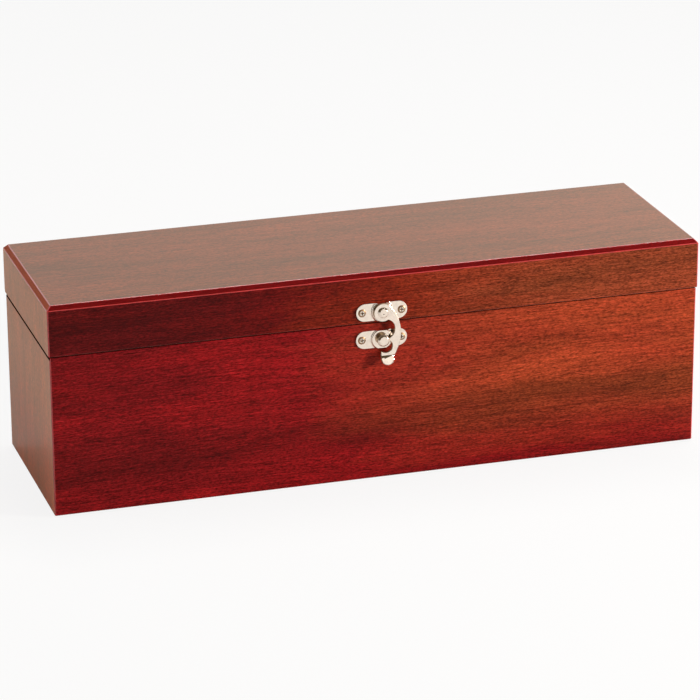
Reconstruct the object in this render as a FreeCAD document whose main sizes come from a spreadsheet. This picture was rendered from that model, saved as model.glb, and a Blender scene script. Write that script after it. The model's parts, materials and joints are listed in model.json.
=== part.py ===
import FreeCAD, Part
import os
import Sketcher

# Hinged presentation box with a swing hook clasp
#
# A long lacquered case: a base of four mitred walls round a floor, and a lid that is
# a shallow tray upside down. Two butt hinges let into the back rims carry the lid.
# A clasp in the middle of the front holds it shut: a hook that swings on a rivet,
# and a stud that it passes under.
#
# X runs along the box, Y from front to back and Z up. The origin is the middle of the
# underside. All sizes are in millimetres.

SIZES = [
    # base
    ("base_length", 361.0, "outside length of the base"),
    ("base_depth", 108.4, "outside depth of the base"),
    ("base_height", 89.0, "height of the base walls"),
    ("wall", 9.0, "thickness of the base walls"),
    ("floor_panel", 6.0, "thickness of the floor"),
    ("edge_round", 0.8, "rounding of every outside edge of the wood"),
    ("felt_thickness", 0.8, "felt sheet under the floor"),
    ("felt_inset", 4.0, "felt edge back from the outside of the base"),
    # lid
    ("lid_height", 27.9, "height of the lid"),
    ("lid_panel", 8.0, "thickness of the lid's top board"),
    ("lid_overhang", 0.6, "lid proud of the base on every side"),
    ("lid_chamfer", 2.4, "chamfer round the lid's top"),
    ("seam_gap", 0.3, "gap between base and lid when closed"),
    # lining
    ("lining", 1.6, "thickness of the cloth covered cards"),
    ("lining_drop", 1.0, "wall linings below the rim"),
    # hinges
    ("hinge_from_end", 68.0, "middle of a hinge from the end of the base"),
    ("hinge_inset", 2.2, "hinge axis in from the back of the base"),
    ("hinge_length", 32.0, "length of a hinge"),
    ("stop_angle", 95.0, "opening at which the back bevels meet"),
    ("stop_play", 0.5, "angle left between the bevels at the stop"),
    ("knuckle_radius", 1.6, "outside radius of the knuckles"),
    ("knuckle_relief", 0.3, "room round the knuckles"),
    ("knuckle_count", 5, "knuckles in a hinge"),
    ("hinge_pin_radius", 0.7, "radius of the hinge pin"),
    ("running_play", 0.06, "radial play of a turning fit"),
    ("leaf_thickness", 1.0, "thickness of a leaf"),
    ("leaf_reach", 6.0, "leaf edge in front of the axis"),
    ("leaf_gap", 0.1, "gap between the closed leaves"),
    ("leaf_play", 0.1, "gap between a leaf and its recess"),
    ("hinge_screw_spacing", 20.0, "between the screws of a leaf"),
    ("hinge_screw_head", 1.7, "head radius of a hinge screw"),
    ("hinge_screw_shank", 0.9, "shank radius of a hinge screw"),
    ("hinge_screw_length", 9.0, "length of a hinge screw"),
    ("slot_width", 0.5, "width of the cross in a screw's head"),
    ("slot_share", 0.5, "half length of the cross, as a share of the head's radius"),
    ("screw_point", 0.3, "blunt end of a screw"),
    # clasp plates
    ("plate_length", 28.4, "length of a clasp plate"),
    ("plate_width", 9.8, "width of a clasp plate, its ends are round"),
    ("plate_thickness", 0.8, "thickness of a clasp plate"),
    ("lid_plate_rise", 6.45, "middle of the lid's plate above the seam"),
    ("catch_plate_drop", 9.15, "middle of the catch plate below the seam"),
    ("boss_foot_radius", 6.2, "raised middle of a plate, at its foot"),
    ("boss_top_radius", 5.4, "raised middle of a plate, at its top"),
    ("boss_height", 1.2, "height of the raised middle"),
    ("dish_radius", 4.4, "hollow behind the raised middle"),
    ("clasp_screw_spacing", 22.0, "between the screws of a plate"),
    ("clasp_screw_head", 2.2, "head radius of a clasp screw"),
    ("clasp_screw_shank", 1.1, "shank radius of a clasp screw"),
    ("clasp_screw_length", 8.0, "length of a clasp screw"),
    ("clasp_screw_crown", 0.4, "oval screw head proud of its plate"),
    ("crown_share", 0.6, "flat of that head, as a share of its radius"),
    # clasp hook
    ("hook_thickness", 1.2, "thickness of the hook"),
    ("hook_play", 0.15, "play behind and in front of the hook"),
    ("eye_radius", 5.1, "round end of the hook about the rivet"),
    ("hook_reach", 10.0, "outer edge of the arm beside the rivet"),
    ("belly_above_stud", 3.6, "widest place of the arm above the stud"),
    ("bay_radius", 5.5, "hollow of the arm between rivet and beak"),
    ("bay_side", 1.1, "middle of that hollow beside the rivet"),
    ("bay_above_stud", 6.1, "middle of that hollow above the stud"),
    ("beak_gap", 0.35, "between beak and stud"),
    ("notch_radius", 3.6, "notch that takes the stud"),
    ("notch_side", 1.6, "middle of the notch beside the rivet"),
    ("notch_below_stud", 3.5, "middle of the notch below the stud"),
    ("lip_width", 1.2, "metal under the notch"),
    ("lip_tip", 0.8, "tip of the lip above the bottom of the notch"),
    ("tab_radius", 3.5, "round finger tab"),
    ("tab_side", 2.2, "middle of the tab beside the rivet"),
    ("tab_drop", 2.4, "middle of the tab below the bend"),
    ("tab_tilt", 25.0, "bend of the tab away from the box"),
    # rivet and stud
    ("rivet_radius", 1.3, "shank of the rivet"),
    ("rivet_head_radius", 2.9, "head of the rivet"),
    ("rivet_head_height", 0.9, "height of the rivet's head"),
    ("rivet_dimple_radius", 1.2, "dimple in the rivet's head"),
    ("rivet_dimple_depth", 0.4, "depth of that dimple"),
    ("rivet_foot_radius", 2.2, "spread foot of rivet and stud behind their plates"),
    ("rivet_foot_height", 0.4, "thickness of that foot"),
    ("stud_neck_radius", 3.0, "neck of the stud"),
    ("stud_head_radius", 3.3, "head of the stud"),
    ("stud_head_height", 1.4, "height of the stud's head"),
    ("stud_crown", 0.9, "bevelled part of the stud's head"),
    ("stud_clearance", 0.25, "between the hook and the stud's head"),
]

document = FreeCAD.newDocument("PresentationBox")
sheet = document.addObject("Spreadsheet::Sheet", "Sizes")
for row, (alias, number, meaning) in enumerate(SIZES, start=1):
    sheet.set(f"A{row}", alias)
    sheet.set(f"B{row}", str(number))
    sheet.set(f"C{row}", meaning)
    sheet.setAlias(f"B{row}", alias)
document.recompute()

# Levels and lengths that several pieces share

INSIDE_LENGTH = "(Sizes.base_length - 2 * Sizes.wall)"
INSIDE_DEPTH = "(Sizes.base_depth - 2 * Sizes.wall)"
LID_LENGTH = "(Sizes.base_length + 2 * Sizes.lid_overhang)"
LID_DEPTH = "(Sizes.base_depth + 2 * Sizes.lid_overhang)"
LID_WALL = "(Sizes.wall + Sizes.lid_overhang)"

RIM = "(Sizes.felt_thickness + Sizes.base_height)"
SEAM = f"({RIM} + Sizes.seam_gap / 2)"
LID_LOW = f"({RIM} + Sizes.seam_gap)"
PANEL_LOW = f"({LID_LOW} + Sizes.lid_height - Sizes.lid_panel)"
FLOOR_TOP = "(Sizes.felt_thickness + Sizes.floor_panel)"

HINGE_Y = "(Sizes.base_depth / 2 - Sizes.hinge_inset)"
BEVEL = "(Sizes.stop_angle + Sizes.stop_play) / 2"
RELIEF_RADIUS = "(Sizes.knuckle_radius + Sizes.knuckle_relief)"

BASE_FACE = "(0 - Sizes.base_depth / 2)"
LID_FACE = f"(0 - {LID_DEPTH} / 2)"
RIVET_LEVEL = f"({SEAM} + Sizes.lid_plate_rise)"
STUD_LEVEL = f"({SEAM} - Sizes.catch_plate_drop)"
STUD_DROP = "(Sizes.lid_plate_rise + Sizes.catch_plate_drop)"
BOSS_TOP = "(Sizes.plate_thickness + Sizes.boss_height)"


def value(expression):
    """the number that an expression of the sheet gives"""
    return float(sheet.evalExpression(str(expression)))


def bind(thing, **expressions):
    """tie properties of a feature to expressions of the sheet"""
    for name, expression in expressions.items():
        thing.setExpression(name, str(expression))
    return thing


def place(thing, x=0, y=0, z=0, turn=None):
    """put a feature at a place given by expressions, turned about an axis"""
    if turn is not None:
        axis, angle = turn
        thing.Placement = FreeCAD.Placement(FreeCAD.Vector(), FreeCAD.Rotation(axis, 1))
        thing.setExpression("Placement.Rotation.Angle", str(angle))
    for letter, expression in zip("xyz", (x, y, z)):
        thing.setExpression("Placement.Base." + letter, str(expression))
    return thing


ALONG = FreeCAD.Vector(1, 0, 0)
UPWARD = FreeCAD.Vector(0, 0, 1)


# Plain features

def block(name, low, high):
    """a block between two corners given as expressions"""
    solid = document.addObject("Part::Box", name)
    spans = [f"({end}) - ({start})" for start, end in zip(low, high)]
    bind(solid, Length=spans[0], Width=spans[1], Height=spans[2])
    return place(solid, *low)


def disc(name, radius, low, high, x=0, y=0):
    """an upright cylinder between two levels"""
    solid = document.addObject("Part::Cylinder", name)
    bind(solid, Radius=radius, Height=f"({high}) - ({low})")
    return place(solid, x, y, low)


def rod(name, radius, start, end, y, z):
    """a cylinder along X"""
    solid = document.addObject("Part::Cylinder", name)
    bind(solid, Radius=radius, Height=f"({end}) - ({start})")
    solid.Placement = FreeCAD.Placement(
        FreeCAD.Vector(), FreeCAD.Rotation(FreeCAD.Vector(0, 1, 0), 90))
    return place(solid, start, y, z)


def cone(name, low_radius, high_radius, low, high):
    """an upright cone between two levels"""
    solid = document.addObject("Part::Cone", name)
    bind(solid, Radius1=low_radius, Radius2=high_radius, Height=f"({high}) - ({low})")
    return place(solid, 0, 0, low)


def fuse(name, pieces):
    """several solids made one"""
    solid = document.addObject("Part::MultiFuse", name)
    solid.Shapes = pieces
    solid.Refine = True
    return solid


def cut(name, piece, *tools):
    """a solid with others taken out of it"""
    solid = document.addObject("Part::Cut", name)
    solid.Base = piece
    solid.Tool = tools[0] if len(tools) == 1 else fuse(name + "_tools", list(tools))
    solid.Refine = True
    return solid


def common(name, first, second):
    """what two solids share"""
    solid = document.addObject("Part::Common", name)
    solid.Base = first
    solid.Tool = second
    solid.Refine = True
    return solid


def add_profile(body, name, plane, corners):
    """a closed sketch whose corners are tied to expressions"""
    sketch = body.newObject("Sketcher::SketchObject", name)
    origin_plane = [part for part in body.Origin.OriginFeatures if part.Role == plane][0]
    sketch.AttachmentSupport = (origin_plane, [""])
    sketch.MapMode = "FlatFace"
    points = [FreeCAD.Vector(value(across), value(up), 0) for across, up in corners]
    count = len(points)
    for index in range(count):
        line = Part.LineSegment(points[index], points[(index + 1) % count])
        sketch.addGeometry(line, False)
    for index in range(count):
        sketch.addConstraint(Sketcher.Constraint("Coincident", index, 2, (index + 1) % count, 1))
    for index, corner in enumerate(corners):
        for kind, expression in zip(("DistanceX", "DistanceY"), corner):
            rule = Sketcher.Constraint(kind, -1, 1, index, 1, value(expression))
            number = sketch.addConstraint(rule)
            sketch.setExpression(f"Constraints[{number}]", str(expression))
    return sketch


def turned(name, profile):
    """a piece turned on a lathe: radius and height of each corner of half its section"""
    body = document.addObject("PartDesign::Body", name)
    sketch = add_profile(body, name + "_section", "XZ_Plane", profile)
    revolution = body.newObject("PartDesign::Revolution", name + "_turning")
    revolution.Profile = sketch
    revolution.ReferenceAxis = (sketch, ["V_Axis"])
    revolution.Angle = 360
    body.Tip = revolution
    return body


def wooden_block(name, length, depth, height, level, chamfer=None):
    """a solid block of wood with every edge rounded, its top chamfered if asked"""
    body = document.addObject("PartDesign::Body", name)
    corners = [(f"0 - {length} / 2", f"0 - {depth} / 2"), (f"{length} / 2", f"0 - {depth} / 2"),
               (f"{length} / 2", f"{depth} / 2"), (f"0 - {length} / 2", f"{depth} / 2")]
    pad = body.newObject("PartDesign::Pad", name + "_pad")
    pad.Profile = add_profile(body, name + "_outline", "XY_Plane", corners)
    bind(pad, Length=height)
    body.Tip = pad
    document.recompute()
    last = pad
    if chamfer is not None:
        top = last.Shape.BoundBox.ZMax
        upper = [f"Edge{number}" for number, edge in enumerate(last.Shape.Edges, start=1)
                 if edge.BoundBox.ZMin > top - 1e-6]
        last = body.newObject("PartDesign::Chamfer", name + "_chamfer")
        last.Base = (pad, upper)
        bind(last, Size=chamfer)
        body.Tip = last
        document.recompute()
    rounding = body.newObject("PartDesign::Fillet", name + "_rounding")
    rounding.Base = (last, [f"Edge{number}" for number in range(1, len(last.Shape.Edges) + 1)])
    bind(rounding, Radius="Sizes.edge_round")
    body.Tip = rounding
    return place(body, 0, 0, level)


def mitre(name, run, offset, wall, low, high, turn):
    """the share of a frame that one wall takes, between the mitres at its ends"""
    margin = "Sizes.wall / 2"
    solid = document.addObject("Part::Wedge", name)
    bind(solid,
         Ymin=f"0 - {offset} / 2 - {margin}", Ymax=f"0 - {offset} / 2 + {wall} + {margin}",
         Xmin=f"0 - {run} / 2 - {margin}", Xmax=f"{run} / 2 + {margin}",
         X2min=f"0 - {run} / 2 + {wall} + {margin}", X2max=f"{run} / 2 - {wall} - {margin}",
         Zmin=low, Z2min=low, Zmax=high, Z2max=high)
    return place(solid, turn=(UPWARD, turn))


def mitred_walls(name, frame, length, depth, wall, low, high):
    """the four walls of a frame, each its own board"""
    walls = {}
    for side, run, offset, turn in (("front", length, depth, 0), ("right", depth, length, 90),
                                    ("back", length, depth, 180), ("left", depth, length, 270)):
        share = mitre(f"{name}_{side}_share", run, offset, wall, low, high, turn)
        walls[side] = common(f"{name}_{side}_board", frame, share)
    return walls


# Wood of the base and the lid

def bevel_tool(name, down):
    """what the bevel takes from the back of the rim, below or above the axis"""
    reach = "(3 * Sizes.wall)"
    half = f"({LID_LENGTH} / 2 + Sizes.wall)"
    tool = block(name, (f"0 - {half}", "0", "0"), (half, reach, reach))
    angle = f"0 - {BEVEL}" if down else f"{BEVEL} - 90"
    return place(tool, f"0 - {half}", HINGE_Y, SEAM, turn=(ALONG, angle))


def base_wood():
    """floor and walls of the base, before the fittings are let in"""
    solid = wooden_block("base_block", "Sizes.base_length", "Sizes.base_depth",
                         "Sizes.base_height", "Sizes.felt_thickness")
    hollow = block("base_hollow",
                   (f"0 - {INSIDE_LENGTH} / 2", f"0 - {INSIDE_DEPTH} / 2", "0"),
                   (f"{INSIDE_LENGTH} / 2", f"{INSIDE_DEPTH} / 2", f"{RIM} + Sizes.wall"))
    frame = cut("base_frame", solid, hollow, bevel_tool("base_bevel", down=True))
    walls = mitred_walls("base", frame, "Sizes.base_length", "Sizes.base_depth", "Sizes.wall",
                         "0", f"{RIM} + Sizes.wall")
    floor = block("base_bottom",
                  (f"0 - {INSIDE_LENGTH} / 2", f"0 - {INSIDE_DEPTH} / 2", "Sizes.felt_thickness"),
                  (f"{INSIDE_LENGTH} / 2", f"{INSIDE_DEPTH} / 2", FLOOR_TOP))
    half_length = "(Sizes.base_length / 2 - Sizes.felt_inset)"
    half_depth = "(Sizes.base_depth / 2 - Sizes.felt_inset)"
    felt = block("base_felt", (f"0 - {half_length}", f"0 - {half_depth}", "0"),
                 (half_length, half_depth, "Sizes.felt_thickness"))
    return walls, floor, felt


def lid_wood():
    """top board and walls of the lid, before the fittings are let in"""
    solid = wooden_block("lid_block", LID_LENGTH, LID_DEPTH, "Sizes.lid_height", LID_LOW,
                         chamfer="Sizes.lid_chamfer")
    hollow = block("lid_hollow",
                   (f"0 - {INSIDE_LENGTH} / 2", f"0 - {INSIDE_DEPTH} / 2", f"{LID_LOW} - Sizes.wall"),
                   (f"{INSIDE_LENGTH} / 2", f"{INSIDE_DEPTH} / 2", PANEL_LOW))
    above = f"{PANEL_LOW} + 2 * Sizes.lid_panel"
    upper = block("lid_upper_share",
                  (f"0 - {LID_LENGTH}", f"0 - {LID_DEPTH}", PANEL_LOW),
                  (LID_LENGTH, LID_DEPTH, above))
    frame = cut("lid_frame", solid, hollow, upper, bevel_tool("lid_bevel", down=False))
    walls = mitred_walls("lid", frame, LID_LENGTH, LID_DEPTH, LID_WALL,
                         f"{LID_LOW} - Sizes.wall", above)
    panel = common("lid_top", solid, upper)
    return walls, panel


# Hinges

def knuckle_spans(middle, of_lid):
    """start and end of the knuckles that belong to one leaf"""
    pitch = "(Sizes.hinge_length / Sizes.knuckle_count)"
    gap = "Sizes.leaf_gap"
    spans = []
    for number in range(int(value("Sizes.knuckle_count"))):
        if (number % 2 == 1) != of_lid:
            continue
        start = f"{middle} - Sizes.hinge_length / 2 + {number} * {pitch}"
        spans.append((f"{start} + {gap}", f"{start} + {pitch} - {gap}"))
    return spans


def leaf_levels(of_lid):
    """lower and upper face of a leaf"""
    near = "Sizes.leaf_gap / 2"
    far = "(Sizes.leaf_gap / 2 + Sizes.leaf_thickness)"
    if of_lid:
        return f"{SEAM} + {near}", f"{SEAM} + {far}"
    return f"{SEAM} - {far}", f"{SEAM} - {near}"


def leaf_screw_places(middle):
    """where the two screws of a leaf stand"""
    across = f"{HINGE_Y} - ({RELIEF_RADIUS} + Sizes.leaf_reach) / 2"
    return [(f"{middle} - Sizes.hinge_screw_spacing / 2", across),
            (f"{middle} + Sizes.hinge_screw_spacing / 2", across)]


def hinge_leaf(name, middle, of_lid):
    """a leaf with its knuckles, bored for the pin and countersunk for its screws"""
    low, high = leaf_levels(of_lid)
    start = f"{middle} - Sizes.hinge_length / 2"
    end = f"{middle} + Sizes.hinge_length / 2"
    plate = block(name + "_plate", (start, f"{HINGE_Y} - Sizes.leaf_reach", low),
                  (end, f"{HINGE_Y} - {RELIEF_RADIUS}", high))
    pieces = [plate]
    for number, (first, last) in enumerate(knuckle_spans(middle, of_lid), start=1):
        pieces.append(block(f"{name}_tongue_{number}",
                            (first, f"{HINGE_Y} - {RELIEF_RADIUS} - Sizes.leaf_thickness", low),
                            (last, HINGE_Y, high)))
        pieces.append(rod(f"{name}_knuckle_{number}", "Sizes.knuckle_radius",
                          first, last, HINGE_Y, SEAM))
    play = "Sizes.running_play" if of_lid else "0"
    tools = [rod(name + "_bore", f"Sizes.hinge_pin_radius + {play}",
                 f"{start} - Sizes.wall", f"{end} + Sizes.wall", HINGE_Y, SEAM)]
    for number, (x, y) in enumerate(leaf_screw_places(middle), start=1):
        sink = document.addObject("Part::Cone", f"{name}_countersink_{number}")
        narrow, wide = "Sizes.hinge_screw_shank", "Sizes.hinge_screw_head"
        radii = (wide, narrow) if of_lid else (narrow, wide)
        bind(sink, Radius1=radii[0], Radius2=radii[1], Height="Sizes.leaf_thickness")
        tools.append(place(sink, x, y, low))
    return cut(name, fuse(name + "_blank", pieces), *tools)


def hinge_recess(name, middle, of_lid):
    """what is taken from the wood of a back wall to let in a leaf and its knuckles"""
    low, high = leaf_levels(of_lid)
    start = f"{middle} - Sizes.hinge_length / 2 - Sizes.leaf_play"
    end = f"{middle} + Sizes.hinge_length / 2 + Sizes.leaf_play"
    front = f"{HINGE_Y} - Sizes.leaf_reach - Sizes.leaf_play"
    if of_lid:
        low = f"{SEAM} - Sizes.knuckle_radius"
    else:
        high = f"{SEAM} + Sizes.knuckle_radius"
    pocket = block(name + "_pocket", (start, front, low), (end, HINGE_Y, high))
    relief = rod(name + "_relief", RELIEF_RADIUS, start, end, HINGE_Y, SEAM)
    tools = [pocket, relief]
    for number, (x, y) in enumerate(leaf_screw_places(middle), start=1):
        first, last = SEAM, f"{SEAM} + Sizes.hinge_screw_length"
        if not of_lid:
            first, last = f"{SEAM} - Sizes.hinge_screw_length", SEAM
        tools.append(disc(f"{name}_pilot_{number}", "Sizes.hinge_screw_shank", first, last, x, y))
    return fuse(name, tools)


def cross_recess(name, body_piece, half_length, top, depth):
    """a screw with the cross cut into its head"""
    half_width = "Sizes.slot_width / 2"
    bars = [block(name + "_slot_1", (f"0 - {half_length}", f"0 - {half_width}", f"{top} - {depth}"),
                  (half_length, half_width, f"{top} + 1")),
            block(name + "_slot_2", (f"0 - {half_width}", f"0 - {half_length}", f"{top} - {depth}"),
                  (half_width, half_length, f"{top} + 1"))]
    return cut(name, body_piece, *bars)


def screw_set(name, pattern, places, turn):
    """identical screws standing at their places, as one group of solids"""
    document.recompute()
    turning = FreeCAD.Rotation(*turn)
    copies = []
    for spot in places:
        copy = pattern.Shape.copy()
        middle = FreeCAD.Vector(*[value(expression) for expression in spot])
        copy.Placement = FreeCAD.Placement(middle, turning)
        copies.append(copy)
    group = document.addObject("Part::Feature", name)
    group.Shape = Part.makeCompound(copies)
    return group


# Clasp, drawn flat: X to the right, Y up and Z out of the box's front

def clasp_slab(name, low, high):
    """the outline of a clasp plate between two levels: straight sides and round ends"""
    straight = "(Sizes.plate_length - Sizes.plate_width) / 2"
    radius = "Sizes.plate_width / 2"
    return fuse(name, [
        block(name + "_middle", (f"0 - {straight}", f"0 - {radius}", low), (straight, radius, high)),
        disc(name + "_left_end", radius, low, high, x=f"0 - {straight}"),
        disc(name + "_right_end", radius, low, high, x=straight)])


def clasp_plate(name):
    """a pressed plate: raised middle, hollow behind it, bored, with sunk screw holes"""
    raised = common(name + "_raised",
                    cone(name + "_boss", "Sizes.boss_foot_radius", "Sizes.boss_top_radius",
                         "Sizes.plate_thickness", BOSS_TOP),
                    clasp_slab(name + "_limits", "0", f"{BOSS_TOP} + 1"))
    skin = fuse(name + "_skin", [clasp_slab(name + "_flat", "0", "Sizes.plate_thickness"), raised])
    tools = [disc(name + "_dish", "Sizes.dish_radius", "0", "Sizes.boss_height"),
             disc(name + "_bore", "Sizes.rivet_radius", "0", f"{BOSS_TOP} + 1")]
    for number, side in ((1, "0 - "), (2, "")):
        sink = cone(f"{name}_countersink_{number}", "Sizes.clasp_screw_shank",
                    "Sizes.clasp_screw_head", "0", "Sizes.plate_thickness")
        tools.append(place(sink, f"{side}Sizes.clasp_screw_spacing / 2", 0, 0))
    return cut(name, skin, *tools)


def screw_profile(shank, length, head, thickness, crown):
    """half section of a countersunk screw whose head fills a plate of that thickness"""
    point = "Sizes.screw_point"
    return [("0", f"0 - {length}"), (point, f"0 - {length}"), (shank, f"0 - {length} + {shank}"),
            (shank, f"0 - {thickness}"), (head, "0"), (f"{head} * Sizes.crown_share", crown), ("0", crown)]


def clasp_hook():
    """the hook: round eye, bowed arm, beak, notch for the stud, lip and bent finger tab"""
    back = f"({BOSS_TOP} + Sizes.hook_play)"
    front = f"({back} + Sizes.hook_thickness)"
    middle = f"({back} + Sizes.hook_thickness / 2)"
    belly = f"({STUD_DROP} - Sizes.belly_above_stud)"
    side_room = "(Sizes.hook_reach - Sizes.eye_radius)"
    # the outer edge is one arc that leaves the eye's circle smoothly and reaches furthest at the belly
    arc_side = f"(({belly} * {belly} - {side_room} * {side_room}) / (2 * {side_room}))"
    arc_radius = f"(Sizes.hook_reach + {arc_side})"
    meeting = f"({belly} * Sizes.eye_radius / ({arc_radius} - Sizes.eye_radius))"
    beak = "(Sizes.stud_neck_radius + Sizes.beak_gap)"
    notch_drop = f"({STUD_DROP} + Sizes.notch_below_stud)"
    bend = f"({notch_drop} + Sizes.notch_radius + Sizes.lip_width)"
    lip_top = f"(0 - {notch_drop} - Sizes.notch_radius + Sizes.lip_tip)"
    left = "(Sizes.tab_side - Sizes.tab_radius)"
    tab_middle = f"({bend} + Sizes.tab_drop)"
    right = "(Sizes.hook_reach + 1)"

    def outer_disc(name):
        return disc(name, arc_radius, back, front, x=f"0 - {arc_side}", y=f"0 - {belly}")

    eye = disc("hook_eye", "Sizes.eye_radius", back, front)
    strips = fuse("hook_strips", [
        block("hook_arm_strip", (beak, f"0 - {bend}", back), (right, meeting, front)),
        block("hook_neck_strip", ("0", "0 - Sizes.eye_radius", back), (right, meeting, front)),
        block("hook_lip_strip", (left, f"0 - {bend}", back), (right, lip_top, front))])
    arm = cut("hook_arm", common("hook_bow", outer_disc("hook_outer_edge"), strips),
              disc("hook_bay", "Sizes.bay_radius", f"{back} - 1", f"{front} + 1",
                   x="Sizes.bay_side", y=f"Sizes.bay_above_stud - {STUD_DROP}"),
              disc("hook_notch", "Sizes.notch_radius", f"{back} - 1", f"{front} + 1",
                   x="Sizes.notch_side", y=f"0 - {notch_drop}"))

    # the tab is cut from the same outline below the bend, then turned out about the bend
    below = block("hook_tab_share", (f"{left} - 1", f"0 - {tab_middle} - 2 * Sizes.tab_radius", back),
                  (right, f"0 - {bend}", front))
    root = common("hook_tab_root", outer_disc("hook_tab_edge"),
                  block("hook_tab_strip", (left, f"0 - {tab_middle}", back), (right, "0", front)))
    end = disc("hook_tab_end", "Sizes.tab_radius", back, front, x="Sizes.tab_side",
               y=f"0 - {tab_middle}")
    tab = common("hook_tab", fuse("hook_tab_blank", [root, end]), below)
    tilt = "Sizes.tab_tilt"
    place(tab, 0, f"{bend} * (cos({tilt}) - 1) - {middle} * sin({tilt})",
          f"{middle} * (1 - cos({tilt})) - {bend} * sin({tilt})", turn=(ALONG, f"0 - {tilt}"))
    bend_end = f"sqrt({arc_radius} ^ 2 - ({bend} - {belly}) ^ 2) - {arc_side}"
    crease = rod("hook_crease", "Sizes.hook_thickness / 2", left, bend_end, f"0 - {bend}", middle)
    bore = disc("hook_bore", "Sizes.rivet_radius + Sizes.running_play",
                f"{back} - 1", f"{front} + 1")
    return cut("hook", fuse("hook_blank", [eye, arm, crease, tab]), bore)


def rivet_profile():
    """half section of the rivet: foot, shank and a rounded head with a dimple"""
    foot_top = "Sizes.boss_height"
    foot_low = f"({foot_top} - Sizes.rivet_foot_height)"
    head_low = f"({BOSS_TOP} + 2 * Sizes.hook_play + Sizes.hook_thickness)"
    head_top = f"({head_low} + Sizes.rivet_head_height)"
    shoulder = f"({head_low} + Sizes.rivet_head_height / 3)"
    return [("0", foot_low), ("Sizes.rivet_foot_radius", foot_low),
            ("Sizes.rivet_foot_radius", foot_top), ("Sizes.rivet_radius", foot_top),
            ("Sizes.rivet_radius", head_low), ("Sizes.rivet_head_radius", head_low),
            ("Sizes.rivet_head_radius", shoulder),
            ("(Sizes.rivet_head_radius + Sizes.rivet_dimple_radius) / 2", head_top),
            ("Sizes.rivet_dimple_radius", head_top),
            ("0", f"{head_top} - Sizes.rivet_dimple_depth")]


def stud_profile():
    """half section of the stud: foot, stem in the plate, neck and mushroom head"""
    foot_top = "Sizes.boss_height"
    foot_low = f"({foot_top} - Sizes.rivet_foot_height)"
    head_low = (f"({BOSS_TOP} + Sizes.lid_overhang + Sizes.hook_play + Sizes.hook_thickness"
                " + Sizes.stud_clearance)")
    head_top = f"({head_low} + Sizes.stud_head_height)"
    return [("0", foot_low), ("Sizes.rivet_foot_radius", foot_low),
            ("Sizes.rivet_foot_radius", foot_top), ("Sizes.rivet_radius", foot_top),
            ("Sizes.rivet_radius", BOSS_TOP), ("Sizes.stud_neck_radius", BOSS_TOP),
            ("Sizes.stud_neck_radius", head_low), ("Sizes.stud_head_radius", head_low),
            ("Sizes.stud_head_radius", f"{head_top} - Sizes.stud_crown"),
            ("Sizes.stud_head_radius - Sizes.stud_crown", head_top), ("0", head_top)]


def on_front(piece, face, level):
    """a piece of the clasp stood up against the front of the box"""
    return place(piece, 0, face, level, turn=(ALONG, 90))


# Lining: cards covered in cloth on the floor and walls of base and lid

def linings(name, floor_low, floor_high, wall_low, wall_high):
    """floor card and four wall cards inside one half of the box"""
    half_length = f"({INSIDE_LENGTH} / 2)"
    half_depth = f"({INSIDE_DEPTH} / 2)"
    short = f"({half_length} - Sizes.lining)"
    inner = f"({half_depth} - Sizes.lining)"
    return {
        f"{name}_lining_flat": block(f"{name}_lining_flat",
                                     (f"0 - {half_length}", f"0 - {half_depth}", floor_low),
                                     (half_length, half_depth, floor_high)),
        f"{name}_lining_front": block(f"{name}_lining_front",
                                      (f"0 - {short}", f"0 - {half_depth}", wall_low),
                                      (short, f"0 - {inner}", wall_high)),
        f"{name}_lining_back": block(f"{name}_lining_back",
                                     (f"0 - {short}", inner, wall_low),
                                     (short, half_depth, wall_high)),
        f"{name}_lining_left": block(f"{name}_lining_left",
                                     (f"0 - {half_length}", f"0 - {half_depth}", wall_low),
                                     (f"0 - {short}", half_depth, wall_high)),
        f"{name}_lining_right": block(f"{name}_lining_right",
                                      (short, f"0 - {half_depth}", wall_low),
                                      (half_length, half_depth, wall_high)),
    }


# The whole box, piece by piece

nodes = {}

base_walls, nodes["base_bottom"], nodes["base_felt"] = base_wood()
lid_walls, nodes["lid_top"] = lid_wood()
for half, walls in (("base", base_walls), ("lid", lid_walls)):
    nodes[f"{half}_left"] = walls["left"]
    nodes[f"{half}_right"] = walls["right"]

HINGE_MIDDLES = {"left": "(Sizes.hinge_from_end - Sizes.base_length / 2)",
                 "right": "(Sizes.base_length / 2 - Sizes.hinge_from_end)"}
for half, walls in (("base", base_walls), ("lid", lid_walls)):
    recesses = [hinge_recess(f"{half}_{side}_recess", middle, half == "lid")
                for side, middle in HINGE_MIDDLES.items()]
    nodes[f"{half}_back"] = cut(f"{half}_back_wall", walls["back"], *recesses)
for side, middle in HINGE_MIDDLES.items():
    for half in ("base", "lid"):
        nodes[f"hinge_{side}_{half}_leaf"] = hinge_leaf(
            f"hinge_{side}_{half}_leaf", middle, half == "lid")
    nodes[f"hinge_{side}_pin"] = rod(
        f"hinge_{side}_pin", "Sizes.hinge_pin_radius", f"{middle} - Sizes.hinge_length / 2",
        f"{middle} + Sizes.hinge_length / 2", HINGE_Y, SEAM)

CLASP_SIDES = ("0 - Sizes.clasp_screw_spacing / 2", "Sizes.clasp_screw_spacing / 2")
for half, walls, face, level in (("base", base_walls, BASE_FACE, STUD_LEVEL),
                                 ("lid", lid_walls, LID_FACE, RIVET_LEVEL)):
    pilots = [disc(f"{half}_clasp_pilot_{number}", "Sizes.clasp_screw_shank",
                   "Sizes.plate_thickness - Sizes.clasp_screw_length", "1", x=side)
              for number, side in enumerate(CLASP_SIDES, start=1)]
    drill = on_front(fuse(f"{half}_clasp_pilots", pilots), face, level)
    nodes[f"{half}_front"] = cut(f"{half}_front_wall", walls["front"], drill)

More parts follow.
